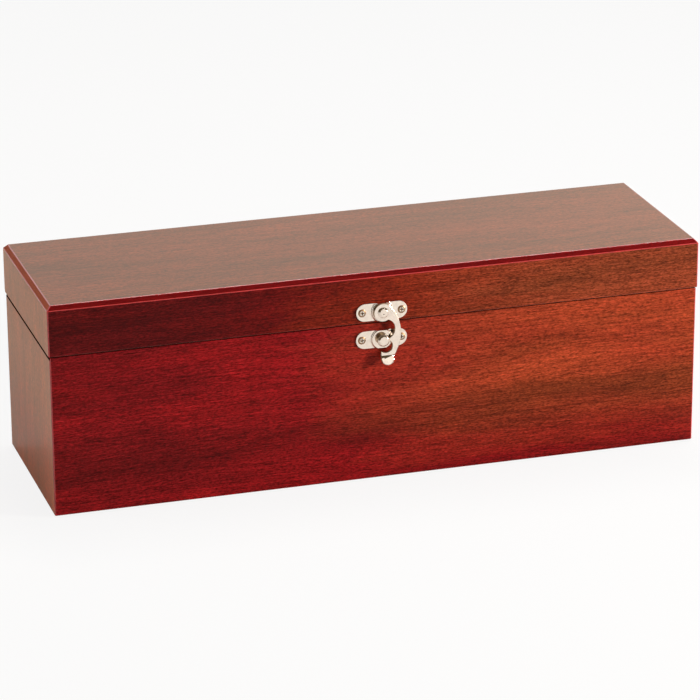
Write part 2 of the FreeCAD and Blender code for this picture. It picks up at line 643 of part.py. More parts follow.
nodes["clasp_plate"] = on_front(clasp_plate("clasp_plate"), LID_FACE, RIVET_LEVEL)
nodes["catch_plate"] = on_front(clasp_plate("catch_plate"), BASE_FACE, STUD_LEVEL)
nodes["clasp_hook"] = on_front(clasp_hook(), LID_FACE, RIVET_LEVEL)
nodes["clasp_rivet"] = on_front(turned("rivet", rivet_profile()), LID_FACE, RIVET_LEVEL)
nodes["catch_stud"] = on_front(turned("stud", stud_profile()), BASE_FACE, STUD_LEVEL)

clasp_screw = cross_recess(
    "clasp_screw",
    turned("clasp_screw_blank", screw_profile(
        "Sizes.clasp_screw_shank", "Sizes.clasp_screw_length", "Sizes.clasp_screw_head",
        "Sizes.plate_thickness", "Sizes.clasp_screw_crown")),
    "(Sizes.clasp_screw_head * Sizes.slot_share)", "Sizes.clasp_screw_crown", "Sizes.plate_thickness")
hinge_screw = cross_recess(
    "hinge_screw",
    turned("hinge_screw_blank", screw_profile(
        "Sizes.hinge_screw_shank", "(Sizes.hinge_screw_length - Sizes.leaf_gap / 2)",
        "Sizes.hinge_screw_head", "Sizes.leaf_thickness", "0")),
    "(Sizes.hinge_screw_head * Sizes.slot_share)", "0", "Sizes.leaf_thickness / 2")

FACING_FRONT = (ALONG, 90)
FACING_UP = (ALONG, 0)
FACING_DOWN = (ALONG, 180)
for name, face, level in (("clasp_screws", LID_FACE, RIVET_LEVEL),
                          ("catch_screws", BASE_FACE, STUD_LEVEL)):
    spots = [(side, f"{face} - Sizes.plate_thickness", level) for side in CLASP_SIDES]
    nodes[name] = screw_set(name, clasp_screw, spots, FACING_FRONT)
for half, facing, sign in (("base", FACING_UP, "-"), ("lid", FACING_DOWN, "+")):
    spots = [(x, y, f"{SEAM} {sign} Sizes.leaf_gap / 2")
             for middle in HINGE_MIDDLES.values() for x, y in leaf_screw_places(middle)]
    nodes[f"hinge_{half}_screws"] = screw_set(f"hinge_{half}_screws", hinge_screw, spots, facing)

nodes.update(linings("base", FLOOR_TOP, f"{FLOOR_TOP} + Sizes.lining",
                     f"{FLOOR_TOP} + Sizes.lining", f"{RIM} - Sizes.lining_drop"))
nodes.update(linings("lid", f"{PANEL_LOW} - Sizes.lining", PANEL_LOW,
                     f"{LID_LOW} + Sizes.lining_drop", f"{PANEL_LOW} - Sizes.lining"))

# Every feature is checked before anything is written

document.recompute()
for feature in document.Objects:
    if "Invalid" in feature.State or "Error" in feature.State:
        raise RuntimeError(f"{feature.Name} did not build: {feature.State}")

os.makedirs("parts", exist_ok=True)
for name, feature in nodes.items():
    feature.Label = name
    shape = feature.Shape
    if shape.isNull() or not shape.isValid() or not shape.Solids:
        raise RuntimeError(f"{name} has no valid solid")
    shape.exportStep(f"parts/{name}.step")
    print(f"{name}: {len(shape.Solids)} solid(s), {shape.Volume:.1f} cubic millimetres")
print(len(nodes), "nodes")
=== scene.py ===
# %% [markdown]
# # A lacquered presentation box with a swing hook clasp
#
# The box is a long case of dark red wood under clear lacquer. Its lid lifts on two small
# hinges at the back, and a bright hook clasp in the middle of the front holds it shut.
# Every solid piece is already there at its real size, so this lesson is about finish:
# the grain and gloss of the wood, the softened edges of the metal, and the lining.
# The first lines load the solids as a fixed frame, and all work is done around them.

# %% Load the frame
import json
import math

import bmesh
import bpy
from mathutils import Matrix, Vector

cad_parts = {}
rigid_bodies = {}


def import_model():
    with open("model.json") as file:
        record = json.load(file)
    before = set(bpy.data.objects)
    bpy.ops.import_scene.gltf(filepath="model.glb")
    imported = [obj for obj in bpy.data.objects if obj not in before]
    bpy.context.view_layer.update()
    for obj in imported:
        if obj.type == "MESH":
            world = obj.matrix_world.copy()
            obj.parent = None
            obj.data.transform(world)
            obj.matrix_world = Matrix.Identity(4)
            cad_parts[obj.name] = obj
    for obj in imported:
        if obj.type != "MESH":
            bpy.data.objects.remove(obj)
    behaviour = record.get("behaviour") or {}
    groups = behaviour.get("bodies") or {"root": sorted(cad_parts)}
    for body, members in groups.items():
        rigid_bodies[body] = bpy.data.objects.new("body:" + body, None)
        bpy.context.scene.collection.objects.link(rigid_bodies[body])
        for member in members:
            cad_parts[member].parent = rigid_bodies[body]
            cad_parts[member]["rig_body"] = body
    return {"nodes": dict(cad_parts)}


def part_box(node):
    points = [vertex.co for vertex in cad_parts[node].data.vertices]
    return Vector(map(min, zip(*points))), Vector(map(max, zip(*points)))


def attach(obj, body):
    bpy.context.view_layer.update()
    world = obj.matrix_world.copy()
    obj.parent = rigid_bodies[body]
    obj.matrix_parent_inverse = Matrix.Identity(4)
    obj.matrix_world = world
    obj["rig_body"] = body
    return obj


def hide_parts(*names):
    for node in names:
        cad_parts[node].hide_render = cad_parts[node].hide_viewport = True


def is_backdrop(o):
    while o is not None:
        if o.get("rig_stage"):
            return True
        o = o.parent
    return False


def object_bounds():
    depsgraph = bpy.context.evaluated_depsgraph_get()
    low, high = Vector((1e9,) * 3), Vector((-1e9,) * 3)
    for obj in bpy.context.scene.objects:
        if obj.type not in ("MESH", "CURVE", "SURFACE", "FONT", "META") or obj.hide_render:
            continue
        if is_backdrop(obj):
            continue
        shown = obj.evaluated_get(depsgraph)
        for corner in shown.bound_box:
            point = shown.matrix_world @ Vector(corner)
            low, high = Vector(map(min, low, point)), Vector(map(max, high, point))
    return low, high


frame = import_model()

MM = 0.001
cad_low, cad_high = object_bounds()
print("solids:", len(frame["nodes"]), "size in mm:", [round(s / MM, 1) for s in cad_high - cad_low])

# %% [markdown]
# ## Camera
#
# The picture was taken from the front, a little to the left and from above, with a long
# lens. A camera can be moved by eye until the picture looks right, but numbers are easier
# to trust. These come from fitting a camera to the edges of the box: how far it is turned
# round the box, how far it looks down, how it leans and how long its lens is. The three
# directions of the camera are worked out from those angles and put into one matrix.

# %% Camera at the photograph's viewpoint
YAW = math.radians(16.96)
PITCH = math.radians(20.22)
LEAN = math.radians(-0.332)
DISTANCE = 1.987
TARGET = Vector((-0.85, 0.0, 55.05)) * MM
SENSOR_MM = 36.0
LENS_OVER_PICTURE_WIDTH = 3618 / 700
FARTHEST_SEEN = 50

forward = Vector((math.sin(YAW) * math.cos(PITCH),
                  math.cos(YAW) * math.cos(PITCH),
                  -math.sin(PITCH)))
level_right = Vector((math.cos(YAW), -math.sin(YAW), 0))
level_up = level_right.cross(forward)
right = level_right * math.cos(LEAN) + level_up * math.sin(LEAN)
up = level_up * math.cos(LEAN) - level_right * math.sin(LEAN)

camera = bpy.data.objects.new("camera", bpy.data.cameras.new("camera"))
bpy.context.scene.collection.objects.link(camera)
camera.data.sensor_width = SENSOR_MM
camera.data.lens = SENSOR_MM * LENS_OVER_PICTURE_WIDTH
camera.data.clip_end = FARTHEST_SEEN
turn = Matrix((right, up, -forward)).transposed().to_4x4()
camera.matrix_world = Matrix.Translation(TARGET - forward * DISTANCE) @ turn
bpy.context.scene.camera = camera
bpy.context.scene.view_settings.view_transform = "Standard"
print("camera stands at", [round(c, 3) for c in camera.matrix_world.translation])

# %% [markdown]
# ## Building materials by name
#
# A material in Blender is a small network of nodes. Written out in full, each node takes
# four or five lines, and the recipe is lost among them. So a few helpers come first. One
# adds a node and fills or links its sockets, and one starts a material and hands back its
# shader. The others stand for the nodes that turn up again and again in this lesson.

# %% Helpers that add nodes
def add(tree, kind, sockets=None, **settings):
    """a node of this kind, with its settings made and its sockets filled or linked"""
    node = tree.nodes.new(kind)
    for name, setting in settings.items():
        setattr(node, name, setting)
    for name, given in (sockets or {}).items():
        if isinstance(given, bpy.types.NodeSocket):
            tree.links.new(given, node.inputs[name])
        else:
            node.inputs[name].default_value = given
    return node


def new_material(name, **constants):
    """a material and its shader, whose named sockets are given here"""
    material = bpy.data.materials.new(name)
    material.use_nodes = True
    shader = material.node_tree.nodes["Principled BSDF"]
    for socket, number in constants.items():
        shader.inputs[socket.replace("_", " ")].default_value = number
    return material, shader


def object_place(tree):
    """where a point lies on the object, in metres"""
    return add(tree, "ShaderNodeTexCoord").outputs["Object"]


def mix_to_output(tree, factor, first, second, output):
    """two shaders mixed by a factor and sent to the output"""
    mixed = add(tree, "ShaderNodeMixShader", {"Fac": factor, 1: first, 2: second})
    tree.links.new(mixed.outputs[0], tree.nodes[output].inputs["Surface"])


print("helpers for nodes ready")


# %% Helpers for numbers
# noise could be anything from 0 to 1, but most of it lies between these
USUAL_NOISE = (0.3, 0.7)


def calculate(tree, operation, *given, clamp=False):
    """the result of one step of arithmetic"""
    return add(tree, "ShaderNodeMath", dict(enumerate(given)), operation=operation,
               use_clamp=clamp).outputs[0]


def remap(tree, given, starts, ends, low, high, smooth=False):
    """a number carried over from one range to another, and held within it"""
    return add(tree, "ShaderNodeMapRange", {
        "Value": given, "From Min": starts, "From Max": ends, "To Min": low, "To Max": high},
        interpolation_type="SMOOTHSTEP" if smooth else "LINEAR").outputs[0]


def noise(tree, vector, scale, detail, roughness=0.5, distortion=0.0):
    """noise from 0 to 1; scale is how often it changes per metre"""
    return add(tree, "ShaderNodeTexNoise", {
        "Vector": vector, "Scale": scale, "Detail": detail, "Roughness": roughness,
        "Distortion": distortion}).outputs["Fac"]


def relief(tree, height, strength, depth, laid_on=None):
    """a surface direction that follows a pattern of heights, laid on another one if given"""
    sockets = {"Strength": strength, "Distance": depth, "Height": height}
    if laid_on is not None:
        sockets["Normal"] = laid_on
    return add(tree, "ShaderNodeBump", sockets).outputs[0]


print("helpers for numbers ready")

# %% Helpers for colours
# a Mix node has sockets for every kind of data, and these are the ones for colours
MIX_FACTOR, MIX_FIRST, MIX_SECOND, MIX_RESULT = 0, 6, 7, 2


def ramp(tree, factor, *stops):
    """a colour ramp: each stop is a place from 0 to 1 and a colour or a grey"""
    node = add(tree, "ShaderNodeValToRGB", {"Fac": factor})
    elements = node.color_ramp.elements
    while len(elements) < len(stops):
        elements.new(0.5)
    for element, (place, colour) in zip(elements, stops):
        element.position = place
        grey = isinstance(colour, (int, float))
        element.color = (colour, colour, colour, 1) if grey else (*colour, 1)
    return node.outputs["Color"]


def blend(tree, kind, factor, first, second):
    """two colours mixed or multiplied, each a socket or a plain colour"""
    sockets = {MIX_FACTOR: factor}
    for socket, colour in ((MIX_FIRST, first), (MIX_SECOND, second)):
        linked = isinstance(colour, bpy.types.NodeSocket)
        sockets[socket] = colour if linked else (*colour, 1)
    return add(tree, "ShaderNodeMix", sockets, data_type="RGBA",
               blend_type=kind).outputs[MIX_RESULT]


print("helpers for colours ready")

# %% [markdown]
# ## Floor and surroundings
#
# The photograph is a cut-out on white. A room with white walls would look the same, but it
# would also flood the deep red wood with light. So the whiteness is only shown to the
# camera and to reflections, through the Light Path node, while the light that falls on the
# box comes from a faint sky and four lamps. The floor is shown mostly white, and the rest
# of it is an ordinary pale surface, so that it keeps the soft shadow of the box. In
# reflections the room is white behind the box and dim and brown in front of it, as a
# studio is, and that gives the bright metal its dark accents.

# %% Floor
FLOOR_HALF_WIDTH = 6.0
FLOOR_WHITE = (0.88, 0.87, 0.86)
FLOOR_SHOWN_WHITE = 0.86
FLOOR_BELOW = 0.02 * MM


def seen_directly(tree, camera_share, mirror_share):
    """a factor that is only above zero for rays from the camera, mirrors and glass"""
    path = add(tree, "ShaderNodeLightPath").outputs
    seen = calculate(tree, "MULTIPLY", path["Is Camera Ray"], camera_share)
    mirrored = calculate(tree, "MAXIMUM", path["Is Glossy Ray"], path["Is Transmission Ray"])
    shared = calculate(tree, "MULTIPLY", mirrored, mirror_share)
    return calculate(tree, "MAXIMUM", seen, shared)


floor_material, floor_shader = new_material("studio_floor", Roughness=0.9, Specular_IOR_Level=0.0)
floor_shader.inputs["Base Color"].default_value = (*FLOOR_WHITE, 1)
tree = floor_material.node_tree
white = add(tree, "ShaderNodeEmission", {"Color": (1, 1, 1, 1), "Strength": 1.0})
shown_white = seen_directly(tree, FLOOR_SHOWN_WHITE, 0.0)
mix_to_output(tree, shown_white, floor_shader.outputs[0], white.outputs[0], "Material Output")

bm = bmesh.new()
bmesh.ops.create_grid(bm, x_segments=1, y_segments=1, size=FLOOR_HALF_WIDTH)
bmesh.ops.translate(bm, verts=bm.verts, vec=(0, 0, -FLOOR_BELOW))
floor = bpy.data.objects.new("studio_floor", bpy.data.meshes.new("studio_floor"))
bm.to_mesh(floor.data)
bm.free()
floor.data.materials.append(floor_material)
bpy.context.scene.collection.objects.link(floor)
floor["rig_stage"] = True
print("floor", 2 * FLOOR_HALF_WIDTH, "m wide")

# %% Surroundings
SKY_LEVEL = 0.19
SKY_TINT = (1.0, 0.98, 0.96)
ROOM_IN_FRONT = (0.105, 0.078, 0.046)
BACKDROP_STARTS, BACKDROP_FULL = -0.25, 0.10

world = bpy.data.worlds.new("studio")
world.use_nodes = True
bpy.context.scene.world = world
tree = world.node_tree
sky = tree.nodes["Background"]
sky.inputs["Color"].default_value = (*SKY_TINT, 1)
sky.inputs["Strength"].default_value = SKY_LEVEL
direction = add(tree, "ShaderNodeTexCoord").outputs["Generated"]
backwards = add(tree, "ShaderNodeSeparateXYZ", {"Vector": direction}).outputs["Y"]
behind = remap(tree, backwards, BACKDROP_STARTS, BACKDROP_FULL, 0.0, 1.0, smooth=True)
camera_ray = add(tree, "ShaderNodeLightPath").outputs["Is Camera Ray"]
whiteness = calculate(tree, "MAXIMUM", camera_ray, behind)
room = blend(tree, "MIX", whiteness, ROOM_IN_FRONT, (1, 1, 1))
backdrop = add(tree, "ShaderNodeBackground", {"Color": room, "Strength": 1.0})
shown = seen_directly(tree, 1.0, 1.0)
mix_to_output(tree, shown, sky.outputs[0], backdrop.outputs[0], "World Output")
print("sky level", SKY_LEVEL)

# %% [markdown]
# ## Lamps
#
# Soft boxes light a product like this one, and area lamps are Blender's soft boxes: the
# larger they are, the softer the shadow. The strongest stands low on the right, so that
# its glow thins out towards the left and the clasp throws its shadow that way. A wide one
# in front fills the finger tab. A long narrow one high behind draws fine lines along the
# lid. One on the left lifts the end, and it is kept out of reflections, because it would
# leave a patch of glare on the top when the box is seen from the right.

# %% Lamps
def soft_lamp(name, place, aim, size, watts, colour, mirrored=True):
    """a rectangular soft box that looks from one point towards another"""
    data = bpy.data.lights.new(name, "AREA")
    data.shape = "RECTANGLE"
    data.size, data.size_y = size
    data.energy = watts
    data.color = colour
    lamp = bpy.data.objects.new(name, data)
    looks_along = Vector(aim) - Vector(place)
    turned = looks_along.to_track_quat("-Z", "Y").to_matrix().to_4x4()
    lamp.matrix_world = Matrix.Translation(place) @ turned
    lamp.visible_camera = False
    lamp.visible_glossy = mirrored
    bpy.context.scene.collection.objects.link(lamp)


soft_lamp("side_lamp", place=(1.40, -0.85, 0.34), aim=(0.05, 0, 0.06), size=(0.36, 0.30),
          watts=42, colour=(1.0, 0.95, 0.88))
soft_lamp("front_lamp", place=(0.49, -1.46, 1.05), aim=(0, 0, 0.1), size=(1.1, 0.8),
          watts=2.8, colour=(1.0, 0.96, 0.90))
soft_lamp("back_lamp", place=(0.40, 0.40, 1.6), aim=(0, 0, 0.1), size=(1.4, 0.22),
          watts=12.6, colour=(1.0, 0.98, 0.96))
soft_lamp("end_lamp", place=(-1.5, 0.30, 0.36), aim=(-0.18, 0, 0.05), size=(0.5, 0.5),
          watts=6.3, colour=(1.0, 0.94, 0.87), mirrored=False)
print("lamps:", [lamp.name for lamp in bpy.data.lights])

# %% [markdown]
# ## Grain
#
# Boards like these carry several layers of pattern. Wide soft bands come from the growth
# rings. Fine fibres run the length of the board. Short dark dashes are the open pores, and
# between them lie still shorter flecks. A picture of wood could be wrapped round the box,
# but it would show its seams at the corners. So each layer is a noise texture stretched
# along the grain, which runs through all of a board, and a slow wave bends all of them a
# little, because no board is quite straight.

# %% Grain recipe
GRAIN_TURN = {"x": (0, 0, 0), "z": (0, math.radians(90), 0)}
GRAIN_WANDER = 4 * MM
WAVE = dict(lengthwise=7, across=30, detail=1.0)


def stretched_noise(tree, vector, lengthwise, across, detail=3.0, roughness=0.55, distortion=0.0):
    """noise drawn out along the grain: how often it changes per metre along and across it"""
    stretched = add(tree, "ShaderNodeMapping", {
        "Vector": vector, "Scale": (lengthwise, across, across)}).outputs[0]
    return noise(tree, stretched, 1.0, detail, roughness, distortion)


def grain_space(tree, place, along, shift):
    """object coordinates turned so that x runs with the grain, with a slow wave in them"""
    turned = add(tree, "ShaderNodeMapping", {
        "Vector": place, "Rotation": GRAIN_TURN[along], "Location": shift}).outputs[0]
    wave = stretched_noise(tree, turned, **WAVE)
    wander = remap(tree, wave, 0.0, 1.0, -GRAIN_WANDER, GRAIN_WANDER)
    offset = add(tree, "ShaderNodeCombineXYZ", {"Y": wander, "Z": wander}).outputs[0]
    return add(tree, "ShaderNodeVectorMath", {0: turned, 1: offset}, operation="ADD").outputs[0]


print("grain directions:", sorted(GRAIN_TURN))

# %% [markdown]
# ## Stain, with painted light and shade
#
# The stain isn't even. It drifts from deep red at the left to a browner orange at the
# right. That drift is partly the stain and partly painted light: the brighter orange at the
# right stands in for the warm glow of the side lamp. On the upright boards of the ends it
# goes from a red foot to a brown top, and that is painted reflection, the haze that the
# lacquer shows higher up and loses towards the floor. The drift is held back near the foot
# of the box, so that the wood stays redder there, and patches of noise break up its edges.
# Drift, foot and patches together make one number, which picks the colour from a ramp.
# Low down, the long boards are also painted brighter at the left and darker at the right,
# so the colour is multiplied once more there. That is painted light and painted shade,
# which even out the glow of the side lamp near the foot. A painted picture could hold all
# this, but a few stops are easier to tune.

# %% Stain and painted light
DUSKY_RED = (0.122, 0.0036, 0.0046)
DEEP_RED = (0.176, 0.0046, 0.0056)
DARK_RED = (0.070, 0.0030, 0.0033)
RICH_RED = (0.095, 0.0034, 0.0030)
WARM_RED = (0.156, 0.0140, 0.0044)
BROWN_ORANGE = (0.250, 0.036, 0.0110)
SOFT_BROWN = (0.172, 0.031, 0.0105)
STAIN_STARTS, STAIN_ENDS = 0.3, 0.96
FRONT_STAIN_AND_LIGHT = ((0.0, DUSKY_RED), (0.15, DEEP_RED), (0.33, DEEP_RED), (1.0, BROWN_ORANGE))
LID_STAIN_AND_LIGHT = ((0.05, DARK_RED), (0.25, RICH_RED), (0.56, WARM_RED), (STAIN_ENDS, SOFT_BROWN))

HALF_LENGTH = (cad_high - cad_low).x / 2
# the drift along the long boards is partly stain and partly painted light, brighter towards the side
# lamp
STAIN_AND_LIGHT_DRIFT = {"x": ("X", -0.85 * HALF_LENGTH, 0.68 * HALF_LENGTH), "z": ("Z", 2 * MM, 75 * MM)}
FOOT_TOP = 38 * MM
FOOT_SHARE = 0.40
PATCHES = dict(lengthwise=11, across=60, detail=3.0)
PATCHINESS = 0.13
# painted light at the left and painted shade at the right, low on the long boards, against the side
# lamp
PAINTED_LIGHT_AND_SHADE_TOP = 92 * MM
PAINTED_LIGHT_AND_SHADE = ((0.0, 1.45), (0.45, 0.92), (STAIN_ENDS, 0.75))


def from_to(first, last):
    """stops for a stain that goes from one colour to another along a board"""
    return (STAIN_STARTS, first), (STAIN_ENDS, last)


def stain(tree, place, space, along, stops):
    """the stain's colour with painted light and shade in it, going unevenly through these stops
    along the grain
    """
    sides = add(tree, "ShaderNodeSeparateXYZ", {"Vector": place}).outputs
    axis, starts, ends = STAIN_AND_LIGHT_DRIFT[along]
    # partly stain, partly painted light: the colour brightens towards the lamp on the right
    stain_and_light_drift = remap(tree, sides[axis], starts, ends, 0.0, STAIN_ENDS, smooth=True)
    foot = remap(tree, sides["Z"], 0.0, FOOT_TOP, FOOT_SHARE, 1.0, smooth=True)
    patches = stretched_noise(tree, space, **PATCHES)
    uneven = remap(tree, patches, *USUAL_NOISE, -PATCHINESS, PATCHINESS)
    share = calculate(tree, "MULTIPLY_ADD", stain_and_light_drift, foot, uneven, clamp=True)
    colour = ramp(tree, share, *stops)
    if along == "z":
        return colour
    # low down the colour is painted brighter at the left and darker at the right: painted light and
    # shade
    low_down = remap(tree, sides["Z"], 0.0, PAINTED_LIGHT_AND_SHADE_TOP, 1.0, 0.0, smooth=True)
    return blend(tree, "MULTIPLY", low_down, colour, ramp(tree, stain_and_light_drift, *PAINTED_LIGHT_AND_SHADE))


print("front stain:", FRONT_STAIN_AND_LIGHT)

# %% [markdown]
# ## Dark heart
#
# One dark band climbs slowly along the front board, where the saw passed near the heart of
# the tree. It could be painted on, but a band that follows from a straight line is easier
# to place: the height of the line at each point along the board, moved up and down by
# noise. The nearer a point is to the line, the darker it gets.

# %% Heart band
HEART = dict(height=34 * MM, rise=0.06, half_width=12 * MM)
HEART_DARKENS = (0.70, 0.78, 0.74)
HEART_NOISE = dict(lengthwise=9, across=40, detail=2.0, roughness=0.6)
# these are counted in half widths of the band
HEART_WANDER = 1.6
DARKEST_TO, DARK_TO = 0.2, 1.6


def heart_band(tree, place, height, rise, half_width):
    """a factor that is 1 in the middle of a dark band that climbs along the board"""
    sides = add(tree, "ShaderNodeSeparateXYZ", {"Vector": place}).outputs
    uneven = stretched_noise(tree, place, **HEART_NOISE)
    farthest = HEART_WANDER * half_width
    wander = remap(tree, uneven, 0.0, 1.0, -farthest, farthest)
    middle = calculate(tree, "MULTIPLY_ADD", sides["X"], rise, height)
    off = calculate(tree, "SUBTRACT", sides["Z"], middle)
    distance = calculate(tree, "ABSOLUTE", calculate(tree, "ADD", off, wander))
    return remap(tree, distance, DARKEST_TO * half_width, DARK_TO * half_width, 1.0, 0.0,
                 smooth=True)


print("heart band from", round(HEART["height"] / MM), "mm up at the middle of the board")

# %% [markdown]
# ## Lacquer
#
# Clear lacquer lies on top of the stain. A strong mirror coat would be the usual choice,
# but this one is satin. It hardly mirrors anything seen head on, and turns milky where it
# is seen at a low angle, as the lid and the end are here. A weak rough coat with a little
# sheen gives that haze. The level top needs less of it than the rest, and the ends more,
# because there the light comes across the grain. Lacquer gathers on narrow roundings, so
# those are glossy. The chamfers at the ends were rubbed down to the stain and have no
# coat, and the roundings inside the seam are dead matt, so that the painted shade on them
# stays black.

# %% Lacquers
HAZE_TINT = (1.0, 0.86, 0.70, 1)
SATIN = {"Roughness": 0.42, "Specular_IOR_Level": 0.02, "Coat_Weight": 1.0, "Coat_Roughness": 0.16,
         "Coat_IOR": 1.12, "Sheen_Weight": 0.6, "Sheen_Roughness": 0.3, "Sheen_Tint": HAZE_TINT}
LEVEL_SATIN = {**SATIN, "Sheen_Weight": 0.52, "Sheen_Tint": (1.0, 0.83, 0.62, 1)}
ACROSS_GRAIN = {**SATIN, "Coat_IOR": 1.10, "Sheen_Weight": 0.87,
                "Sheen_Tint": (1.0, 0.83, 0.50, 1)}
GLOSSY = {"Roughness": 0.35, "Specular_IOR_Level": 0.3, "Coat_Weight": 1.0, "Coat_Roughness": 0.07,
          "Coat_IOR": 1.6, "Sheen_Weight": 0.3, "Sheen_Roughness": 0.3, "Sheen_Tint": HAZE_TINT}
BARE_STAIN = {"Roughness": 0.6, "Specular_IOR_Level": 0.15}
DEAD_MATT = {"Roughness": 1.0, "Specular_IOR_Level": 0.0}
print("satin lacquer:", SATIN)

# %% Wood under lacquer
BANDS = dict(lengthwise=6, across=62, detail=3.0, distortion=0.5)
FIBRES = dict(lengthwise=42, across=1250, detail=4.0, roughness=0.7)
PORES = dict(lengthwise=170, across=2300, detail=1.0)
FLECKS = dict(lengthwise=560, across=1900, detail=2.0, roughness=0.6)
BAND_TONES = ((0.30, (0.74, 0.80, 0.78)), (0.70, (1.24, 1.15, 1.22)))
FIBRE_TONES = ((0.28, 0.49), (0.72, 1.55))
PORE_TONES = ((0.33, 0.40), (0.46, 1.0))
FLECK_TONES = ((0.30, 0.45), (0.70, 1.58))
PORE_SHARE = 0.7


def rosewood(name, along, shift, stops, clarity=1.0, heart=None, lacquer=SATIN):
    """stained wood: the stain's stops, how clear the grain is, and a dark heart band"""
    material, shader = new_material(name, **lacquer)
    tree = material.node_tree
    place = object_place(tree)
    space = grain_space(tree, place, along, shift)
    bands = stretched_noise(tree, space, **BANDS)
    fibres = stretched_noise(tree, space, **FIBRES)
    pores = stretched_noise(tree, space, **PORES)
    flecks = stretched_noise(tree, space, **FLECKS)

    colour = stain(tree, place, space, along, stops)
    colour = blend(tree, "MULTIPLY", clarity, colour, ramp(tree, bands, *BAND_TONES))
    if heart:
        dark = heart_band(tree, place, **heart)
        colour = blend(tree, "MULTIPLY", dark, colour, HEART_DARKENS)
    colour = blend(tree, "MULTIPLY", clarity, colour, ramp(tree, fibres, *FIBRE_TONES))
    colour = blend(tree, "MULTIPLY", PORE_SHARE * clarity, colour, ramp(tree, pores, *PORE_TONES))
    colour = blend(tree, "MULTIPLY", clarity, colour, ramp(tree, flecks, *FLECK_TONES))
    tree.links.new(colour, shader.inputs["Base Color"])

    raised = calculate(tree, "ADD", fibres, flecks)
    fine_grain = relief(tree, raised, strength=0.10, depth=0.05 * MM)
    tree.links.new(fine_grain, shader.inputs["Normal"])
    tree.links.new(fine_grain, shader.inputs["Coat Normal"])
    return material


print("layers per metre along and across:", BANDS, FIBRES, PORES, FLECKS)

# %% [markdown]
# ## The woods of the box
#
# Every board was cut from its own place in the plank, so each one shifts the noise
# somewhere else, and no two show the same figure. The grain of the long boards runs
# along X and that of the ends runs up Z. One material could serve them all if it picked
# its numbers by the place, but a short line for each board is easier to read and to mend.

# %% Woods
MUTED_BROWN = (0.190, 0.040, 0.0125)
FOOT_BROWN = (0.300, 0.024, 0.0030)
# the paler brown at the top of the left end is painted reflection, the haze the lacquer shows higher
# up
PAINTED_HAZE_BROWN = (0.345, 0.073, 0.0215)
# the right end is painted darker than the left: painted shade, which tames the side lamp that lights
# it head on
SHADE_PAINTED_FOOT_BROWN = (0.125, 0.011, 0.0036)
SHADE_PAINTED_TOP_BROWN = (0.120, 0.0145, 0.0050)

BACK_STAIN = from_to(SOFT_BROWN, DEEP_RED)
TOP_STAIN = from_to(MUTED_BROWN, MUTED_BROWN)
LEFT_END = dict(stops=from_to(FOOT_BROWN, PAINTED_HAZE_BROWN), lacquer=ACROSS_GRAIN)
RIGHT_END = dict(stops=from_to(SHADE_PAINTED_FOOT_BROWN, SHADE_PAINTED_TOP_BROWN), clarity=0.6, lacquer=ACROSS_GRAIN)
WOODS = {
    "base_front": rosewood("base_front_wood", "x", (0.0, 0.0, 0.0), FRONT_STAIN_AND_LIGHT, heart=HEART),
    "base_back": rosewood("base_back_wood", "x", (1.3, 0.4, 0.2), BACK_STAIN),
    "base_left": rosewood("base_left_wood", "z", (2.1, 0.3, 0.6), **LEFT_END),
    "base_right": rosewood("base_right_wood", "z", (3.7, 0.9, 0.1), **RIGHT_END),
    "lid_front": rosewood("lid_front_wood", "x", (4.2, 0.7, 0.5), LID_STAIN_AND_LIGHT),
    "lid_back": rosewood("lid_back_wood", "x", (5.9, 0.2, 0.8), BACK_STAIN, clarity=0.8),
    "lid_left": rosewood("lid_left_wood", "z", (6.4, 0.5, 0.9), **LEFT_END),
    "lid_right": rosewood("lid_right_wood", "z", (7.3, 0.6, 0.3), **RIGHT_END),
    "lid_top": rosewood("lid_top_wood", "x", (8.8, 0.1, 0.7), TOP_STAIN, lacquer=LEVEL_SATIN),
}
print("woods:", len(WOODS))

# %% [markdown]
# ## From a solid to a finished piece
#
# The boards and fittings of the frame have the right shape, so they only need finish. The
# frame itself is never changed. Instead each solid is copied, its loose triangles are
# joined into one closed skin, and flat faces that were cut up are made whole again. The
# finished piece then says which body it moves with and which solid it stands for.
# Weighted normals keep the big faces flat while the narrow roundings look smooth.

# %% Joining a solid's triangles
WELD = 0.001 * MM
NEARLY_FLAT = math.radians(1)
BODY_OF = {node: solid["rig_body"] for node, solid in frame["nodes"].items()}


def joined_copy(node):
    """the solid of a node as one closed skin with flat faces made whole"""
    bm = bmesh.new()
    bm.from_mesh(frame["nodes"][node].data)
    bmesh.ops.remove_doubles(bm, verts=bm.verts, dist=WELD)
    bmesh.ops.dissolve_limit(bm, angle_limit=NEARLY_FLAT, verts=bm.verts, edges=bm.edges)
    return bm


def piece_from(bm, name, node, *materials, smooth_below=40):
    """a finished piece that stands for a node, smooth except at its sharp edges"""
    mesh = bpy.data.meshes.new(name)
    bm.to_mesh(mesh)
    bm.free()
    if "custom_normal" in mesh.attributes:
        mesh.attributes.remove(mesh.attributes["custom_normal"])
    mesh.polygons.foreach_set("use_smooth", [True] * len(mesh.polygons))
    mesh.set_sharp_from_angle(angle=math.radians(smooth_below))
    for material in materials:
        mesh.materials.append(material)
    piece = bpy.data.objects.new(name, mesh)
    bpy.context.scene.collection.objects.link(piece)
    weighted = piece.modifiers.new("weighted normals", "WEIGHTED_NORMAL")
    weighted.keep_sharp = True
    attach(piece, BODY_OF[node])
    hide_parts(node)
    return piece


